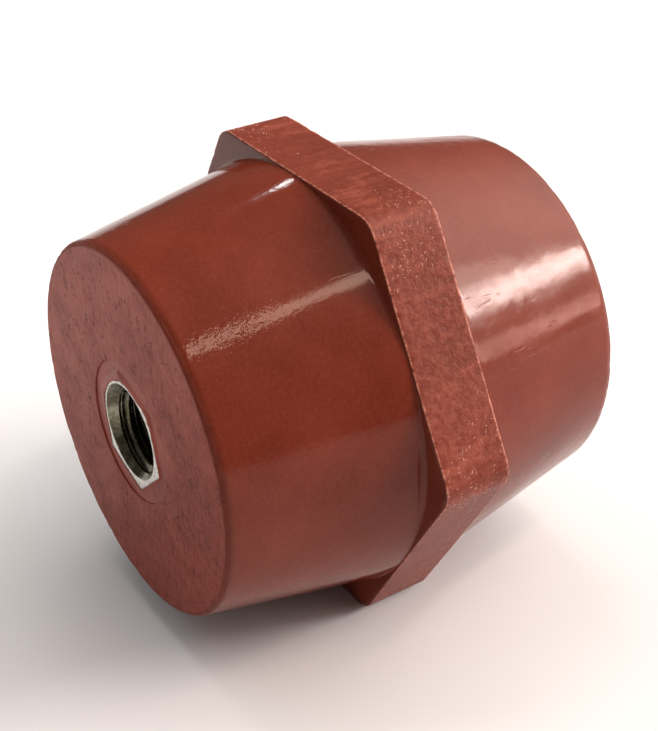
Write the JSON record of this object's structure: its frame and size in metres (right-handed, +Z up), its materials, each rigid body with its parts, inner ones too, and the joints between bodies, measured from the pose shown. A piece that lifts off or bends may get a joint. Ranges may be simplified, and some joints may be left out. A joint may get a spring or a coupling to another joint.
{
  "type": "busbar standoff insulator",
  "caption": "Red-brown moulded resin standoff insulator: two cones joined at a hexagonal flange, with a tapped metal insert in each end face.",
  "frame": {"origin": "on the surface that the part lies on, below the middle of its length: the centre of the lowest flange flat", "axes": "+Y along the insulator's axis from the front end face to the rear one, +Z up, +X to the right seen from the front"},
  "size_m": [0.0568, 0.05, 0.05],
  "materials": {
    "moulded_resin": "satin",
    "plated_steel": "satin"
  },
  "bodies": {
    "root": {"insulating_body": "moulded_resin", "front_threaded_insert": "plated_steel", "rear_threaded_insert": "plated_steel"}
  },
  "joints": []
}
